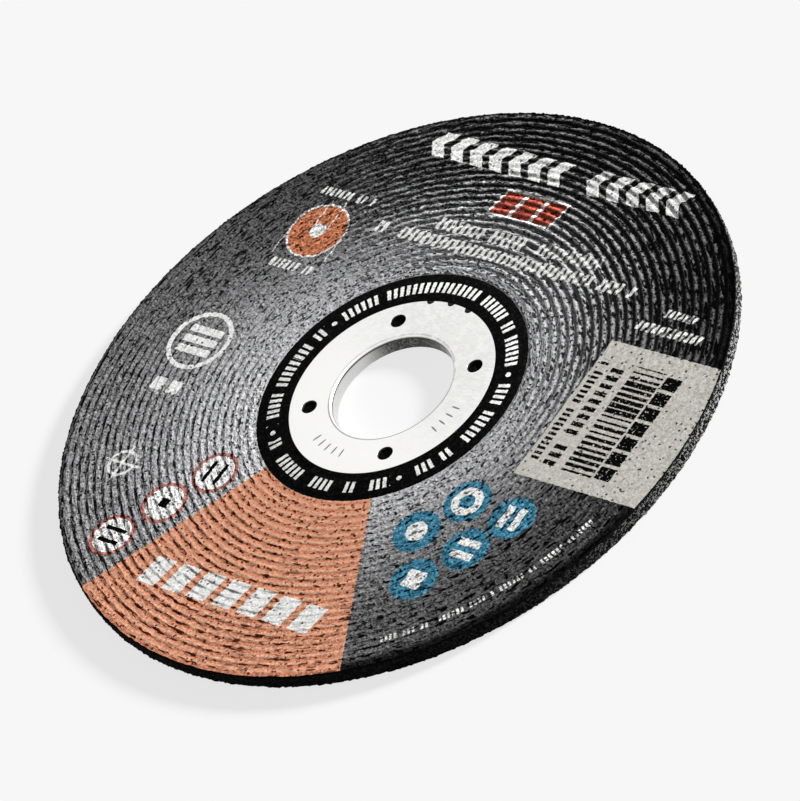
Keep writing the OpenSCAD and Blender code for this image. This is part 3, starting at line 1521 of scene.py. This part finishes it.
@dataclass(frozen=True)
class SteelFinish:
    """Bright stamped sheet with faint rolling lines and grey smears, and painted shade in the bore, round
    the bend and in the punch marks.
    """

    sizes: WheelSizes
    colour: Colour = (0.90, 0.895, 0.875)
    smear: Colour = (0.58, 0.58, 0.56)
    painted_shade: Colour = (0.045, 0.045, 0.044)
    resin: Colour = (0.006, 0.006, 0.006)
    line_stretch: Span = (0.3, 3.0)
    line_mm: float = 0.5
    line_tone: Span = (0.5, 0.8)
    line_share: float = 0.12
    line_rise: float = 0.012
    line_bump: float = 0.6
    cloud_mm: float = 1.6
    stain_side: Side = Side(60.0, -0.6, 0.8, 0.3)
    stain_lines: Span = (0.35, 0.7)
    stain_clouds: Span = (0.3, 0.65)
    wall_depth: Span = (0.15, 0.5)
    wall_shade_side: Side = Side(101.0, 0.5, 1.0)
    wall_shade_lines: Span = (0.3, 0.7)
    wall_shade_share: Span = (0.85, 1.15)
    wall_back_shade_side: Side = Side(215.0, -0.2, 0.6, 0.3)
    near_side: Side = Side(-70.0, -0.3, 0.4, 0.6)
    bend_inset: float = 0.18
    bend_half: float = 0.13
    bend_clouds: Span = (0.3, 0.55)
    bend_share: float = 0.3
    far_side: Side = Side(150.0, -0.4, 0.6)
    streak_depth: float = 0.5
    streak_fade: Span = (0.24, 0.04)
    streak_width: float = 0.4
    streak_share: Span = (0.3, 0.95)
    punch_depth: float = 0.02
    punch_room: float = 0.5
    punch_share: float = 0.75
    flash_turns: tuple[float, ...] = (79.0, 92.0, 105.0)
    flash_r: float = 0.75
    flash_wander: float = 0.5
    roughness: Span = (0.28, 0.44)
    specular: float = 0.05

    def material(self) -> bpy.types.Material:
        """Builds the material.

        Returns:
            The ring's steel.
        """
        nodes = Nodes(bpy.data.materials.new("ring_steel"))
        spot = Spot(nodes)
        along, across = self.line_stretch
        lines = nodes.grain(nodes.vector(spot.x * along, spot.y * across, spot.z), self.line_mm)
        cloud = nodes.grain(spot.here, self.cloud_mm, detail=3.0, rough=0.65)
        stain = lines.ramp(*self.stain_lines) + cloud.ramp(*self.stain_clouds)
        stain = stain * spot.side(self.stain_side)
        stain = stain + lines.ramp(*self.line_tone) * self.line_share
        colour = nodes.blend(stain, self.colour, self.smear)
        # Painted shade: the bore wall darkens, most towards azimuth 101 and a little at the back.
        high, low = (self.sizes.wheel_t - depth for depth in self.wall_depth)
        shaded = lines.ramp(*self.wall_shade_lines).spread(*self.wall_shade_share)
        shaded = spot.side(self.wall_shade_side) * shaded + spot.side(self.wall_back_shade_side)
        colour = nodes.blend(spot.z.ramp(high, low) * shaded, colour, self.painted_shade)
        # Painted shade along the bend, in the bore and on the punch floors.
        colour = nodes.blend(self._marks(spot, cloud), colour, self.painted_shade)
        bright = 1 - self._flash(spot, cloud)
        colour = nodes.blend(bright, self.resin, colour)
        return nodes.surface(
            {
                "Base Color": colour,
                "Metallic": bright,
                "Roughness": cloud.spread(*self.roughness),
                "Specular IOR Level": self.specular,
                "Normal": nodes.bump(lines * self.line_rise, self.line_bump),
            }
        )

    def _marks(self, spot: Spot, cloud: Value) -> Value:
        """Painted shade: a line round the bend, a streak in the bore and the floors of the punch marks.

        Args:
            spot: place on the ring.
            cloud: noise that makes the line uneven.

        Returns:
            How dark each place is painted.
        """
        s, radius, z = self.sizes, spot.radius, spot.z
        ring = (cloud.ramp(*self.bend_clouds) * self.bend_share) | spot.side(self.near_side)
        ring = radius.near(s.bend_r - self.bend_inset, self.bend_half) * ring
        streak = abs(z - (s.wheel_t - self.streak_depth)).ramp(*self.streak_fade)
        streak = streak * (radius < s.bore_r + self.streak_width)
        streak = streak * spot.side(self.far_side).spread(*self.streak_share)
        punched = (z < s.wheel_t - self.punch_depth) * (radius > s.bend_r + self.punch_room)
        return ring | streak | (punched * self.punch_share)

    def _flash(self, spot: Spot, cloud: Value) -> Value:
        """Resin squeezed over the flange's edge in a few places.

        Args:
            spot: place on the ring.
            cloud: noise that makes the lumps uneven.

        Returns:
            1 on the resin.
        """
        s, wander = self.sizes, (cloud - 0.5) * self.flash_wander
        lumps = [(*polar(s.ring_r, turn), s.wheel_t) for turn in self.flash_turns]
        return union(spot.nodes.distance(spot.here, lump) + wander < self.flash_r for lump in lumps)


@dataclass
class CentreRing:
    """The stamped ring: a flange with key holes and punch marks, a bend and a collar."""

    sizes: WheelSizes
    steps: int = 256
    hole_steps: int = 40
    punch_steps: int = 16
    edge_steps: int = 3
    bend_steps: int = 8
    inside_steps: int = 4
    edge_round: float = 0.1
    sharp: float = 40.0
    punch_depth: float = 0.07
    punch_half: Point = (0.95, 0.16)
    punch_r: float = 15.2
    punch_step: float = 6.6
    punch_groups: tuple[tuple[float, int], ...] = ((-12.0, 4), (257.0, 5))
    finish: SteelFinish = field(init=False)

    def __post_init__(self) -> None:
        """Takes the steel for these sizes."""
        self.finish = SteelFinish(self.sizes)

    @staticmethod
    def carry(
        mesh: bmesh.types.BMesh, edges: list[bmesh.types.BMEdge], centre: Point, factor: float, drop: float
    ) -> list[bmesh.types.BMEdge]:
        """Extrudes a loop, widens it about its centre and moves it up or down.

        Args:
            mesh: the ring.
            edges: the loop.
            centre: its middle.
            factor: how far it widens.
            drop: how far it moves down.

        Returns:
            The new loop.
        """
        made = bmesh.ops.extrude_edge_only(mesh, edges=edges)["geom"]
        verts = [g for g in made if isinstance(g, bmesh.types.BMVert)]
        middle = Matrix.Translation((-centre[0] * MM, -centre[1] * MM, 0.0))
        bmesh.ops.scale(mesh, vec=(factor, factor, 1.0), space=middle, verts=verts)
        bmesh.ops.translate(mesh, vec=(0.0, 0.0, -drop * MM), verts=verts)
        loop = set(verts)
        return [g for g in made if isinstance(g, bmesh.types.BMEdge) and set(g.verts) <= loop]

    def follow(
        self, mesh: bmesh.types.BMesh, edges: list[bmesh.types.BMEdge], centre: Point, path: Iterable[Point]
    ) -> list[bmesh.types.BMEdge]:
        """Carries a loop along a path of radius and height.

        Args:
            mesh: the ring.
            edges: the loop, at the path's first point.
            centre: its middle.
            path: radius and height of each stop.

        Returns:
            The loop at the path's end.
        """
        stops = list(path)
        for (r0, z0), (r1, z1) in zip(stops, stops[1:]):
            edges = self.carry(mesh, edges, centre, r1 / r0, z0 - z1)
        return edges

    @staticmethod
    def circle(
        mesh: bmesh.types.BMesh, matrix: Matrix, radius: float, steps: int
    ) -> list[bmesh.types.BMEdge]:
        """Adds a circle of edges.

        Args:
            mesh: the ring.
            matrix: its place.
            radius: its radius.
            steps: its number of edges.

        Returns:
            Its edges.
        """
        made = bmesh.ops.create_circle(mesh, segments=steps, radius=radius * MM, matrix=matrix)["verts"]
        own = set(made)
        return [edge for edge in {e for v in made for e in v.link_edges} if set(edge.verts) <= own]

    def build(self) -> bpy.types.Object:
        """Makes the ring.

        Returns:
            The piece that stands for the centre ring.
        """
        s = self.sizes
        mesh = bmesh.new()
        level = Matrix.Translation((0.0, 0.0, s.wheel_t * MM))
        round_r = self.edge_round
        inner = self.circle(mesh, level, s.bend_r, self.steps)
        outer = self.circle(mesh, level, s.ring_r - round_r, self.steps)
        holes = []
        for i in range(s.key_holes):
            centre = polar(s.key_circle_r, s.key_angle + 360 * i / s.key_holes)
            place = Matrix.Translation((centre[0] * MM, centre[1] * MM, s.wheel_t * MM))
            holes.append((centre, self.circle(mesh, place, s.key_hole_r + round_r, self.hole_steps)))
        places = self.punch_places(level)
        punches = [self.circle(mesh, place, 1.0, self.punch_steps) for place in places]
        bmesh.ops.triangle_fill(mesh, use_beauty=True, edges=list(mesh.edges), normal=(0, 0, 1))
        for edges in [inner, outer, *(e for _, e in holes), *punches]:
            for edge in edges:
                edge.smooth = False
        last = [self.follow(mesh, outer, (0, 0), self.outer_path())]
        last.append(self.follow(mesh, inner, (0, 0), self.collar_path()))
        for centre, edges in holes:
            last.append(self.follow(mesh, edges, centre, self.hole_path()))
        for edges in punches:
            floor = self.carry(mesh, edges, (0, 0), 1.0, self.punch_depth)
            bmesh.ops.contextual_create(mesh, geom=floor)
        bmesh.ops.triangle_fill(
            mesh, use_beauty=True, edges=[e for edges in last for e in edges], normal=(0, 0, -1)
        )
        bmesh.ops.recalc_face_normals(mesh, faces=mesh.faces)
        piece = to_piece(mesh, "steel_ring", self.finish.material(), self.sharp)
        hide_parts("centre_ring")
        return piece

    def punch_places(self, level: Matrix) -> list[Matrix]:
        """Places of the oval punch marks.

        Args:
            level: height of the flange.

        Returns:
            A matrix that turns a unit circle into each oval.
        """
        stretch = Matrix.Diagonal((self.punch_half[0], self.punch_half[1], 1.0, 1.0))
        places = []
        for middle, count in self.punch_groups:
            for i in range(count):
                turn = math.radians(middle + (i - (count - 1) / 2) * self.punch_step)
                spin = Matrix.Rotation(turn, 4, "Z")
                places.append(level @ spin @ Matrix.Translation((self.punch_r * MM, 0, 0)) @ stretch)
        return places

    def outer_path(self) -> list[Point]:
        """Way from the flat of the flange round its outer edge.

        Returns:
            Radius and height of each stop.
        """
        s = self.sizes
        corner = (s.ring_r - self.edge_round, s.wheel_t - self.edge_round)
        return arc(corner, self.edge_round, 90, 0, self.edge_steps) + [(s.ring_r, s.seat_z)]

    def hole_path(self) -> list[Point]:
        """Way from the flat of the flange down a key hole, from the hole's own axis.

        Returns:
            Radius and height of each stop.
        """
        s = self.sizes
        corner = (s.key_hole_r + self.edge_round, s.wheel_t - self.edge_round)
        return arc(corner, self.edge_round, 90, 180, self.edge_steps) + [(s.key_hole_r, s.seat_z)]

    def collar_path(self) -> list[Point]:
        """Way from the flat of the flange over the bend, down the bore and back up the collar.

        Returns:
            Radius and height of each stop.
        """
        s = self.sizes
        centre = (s.bend_r, s.wheel_t - s.bend_outside)
        collar_r = s.bore_r + s.ring_sheet
        foot = [(s.bore_r, s.collar_lift), (collar_r, s.collar_lift)]
        outside = arc(centre, s.bend_outside, 90, 180, self.bend_steps)
        return outside + foot + arc(centre, s.bend_inside, 180, 90, self.inside_steps)


@dataclass
class Studio:
    """Pale floor, soft raking key light, even fill and the camera."""

    floor_colour: Colour = (0.93, 0.93, 0.93)
    floor_half: float = 6000.0
    floor_drop: float = 0.02
    key_azimuth: float = 60.0
    key_elevation: float = 20.0
    key_share: float = 0.83
    key_spread: float = 9.0
    backdrop_share: float = 0.8
    camera_azimuth: float = -30.45
    camera_elevation: float = 40.66
    camera_roll: float = -31.85
    camera_distance: float = 1194.6
    camera_reach: float = 20000.0
    camera_aim: tuple[float, float, float] = (3.64, -2.2, 3.0)
    focal_px: float = 7122.5
    long_side_px: float = 801.0
    sensor: float = 36.0

    @staticmethod
    def direction(azimuth: float, elevation: float) -> Vector:
        """Unit vector towards an azimuth from +X and an elevation, both in degrees."""
        e = math.radians(elevation)
        return Vector((*polar(math.cos(e), azimuth), math.sin(e)))

    def floor(self) -> bpy.types.Object:
        """Makes the floor.

        Returns:
            The floor, marked as stage.
        """
        mesh = bmesh.new()
        place = Matrix.Translation((0.0, 0.0, -self.floor_drop * MM))
        bmesh.ops.create_grid(mesh, x_segments=1, y_segments=1, size=self.floor_half * MM, matrix=place)
        data = bpy.data.meshes.new("floor")
        mesh.to_mesh(data)
        mesh.free()
        data.materials.append(self.floor_paint())
        floor = bpy.data.objects.new("floor", data)
        bpy.context.scene.collection.objects.link(floor)
        floor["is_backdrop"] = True
        return floor

    def floor_paint(self) -> bpy.types.Material:
        """Pale matte paint, which the camera sees partly as backdrop, so that the shadow stays light.

        Returns:
            The floor's material.
        """
        nodes = Nodes(bpy.data.materials.new("floor_paint"))
        colour = (*self.floor_colour, 1.0)
        paint = nodes.add("ShaderNodeBsdfDiffuse", None, {"Color": colour})
        backdrop = nodes.add("ShaderNodeEmission", None, {"Color": colour})
        share = nodes.straight_rays() * self.backdrop_share
        mixed = nodes.add("ShaderNodeMixShader", None, {0: share, 1: paint, 2: backdrop})
        nodes.add("ShaderNodeOutputMaterial", None, {"Surface": mixed})
        return nodes.owner

    def lights(self) -> None:
        """Makes the key lamp and the even fill."""
        lamp = bpy.data.lights.new("key", "SUN")
        lamp.energy = self.key_share * math.pi / math.sin(math.radians(self.key_elevation))
        lamp.angle = math.radians(self.key_spread)
        key = bpy.data.objects.new("key", lamp)
        towards = self.direction(self.key_azimuth, self.key_elevation)
        key.rotation_mode = "QUATERNION"
        key.rotation_quaternion = (-towards).to_track_quat("-Z", "Y")
        bpy.context.scene.collection.objects.link(key)
        world = bpy.data.worlds.new("fill")
        bpy.context.scene.world = world
        nodes = Nodes(world)
        strength = nodes.straight_rays() * self.key_share + (1 - self.key_share)
        white = (1.0, 1.0, 1.0, 1.0)
        backdrop = nodes.add("ShaderNodeBackground", None, {"Color": white, "Strength": strength})
        nodes.add("ShaderNodeOutputWorld", None, {"Surface": backdrop})

    def camera(self) -> None:
        """Makes the camera at the photograph's angle."""
        data = bpy.data.cameras.new("camera")
        data.sensor_width = self.sensor
        data.lens = self.focal_px * self.sensor / self.long_side_px
        data.clip_end = self.camera_reach * MM
        camera = bpy.data.objects.new("camera", data)
        towards = self.direction(self.camera_azimuth, self.camera_elevation)
        turn = (-towards).to_track_quat("-Z", "Y").to_matrix().to_4x4()
        place = Matrix.Translation((Vector(self.camera_aim) + towards * self.camera_distance) * MM)
        camera.matrix_world = place @ turn @ Matrix.Rotation(math.radians(self.camera_roll), 4, "Z")
        bpy.context.scene.collection.objects.link(camera)
        bpy.context.scene.camera = camera

    def build(self) -> bpy.types.Object:
        """Sets up the whole stage.

        Returns:
            The floor.
        """
        bpy.context.scene.view_settings.view_transform = "Standard"
        floor = self.floor()
        self.lights()
        self.camera()
        return floor


def corners(box: tuple[Vector, Vector]) -> list[list[float]]:
    """A box as plain lists of numbers."""
    return [list(corner) for corner in box]


def main() -> None:
    """Builds the wheel and its stage, and works out the box before and after."""
    logging.basicConfig(level=logging.INFO, format="%(message)s")
    sizes = WheelSizes.from_frame()
    for assembly in (Studio(), AbrasiveDisc(sizes), FaceLabel(sizes), CentreRing(sizes)):
        piece = assembly.build()
        LOG.info("%s: %d faces", piece.name, len(piece.data.polygons))
    {"cad": corners(CAD_BOX), "visual": corners(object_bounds())}


if __name__ == "__main__":
    main()
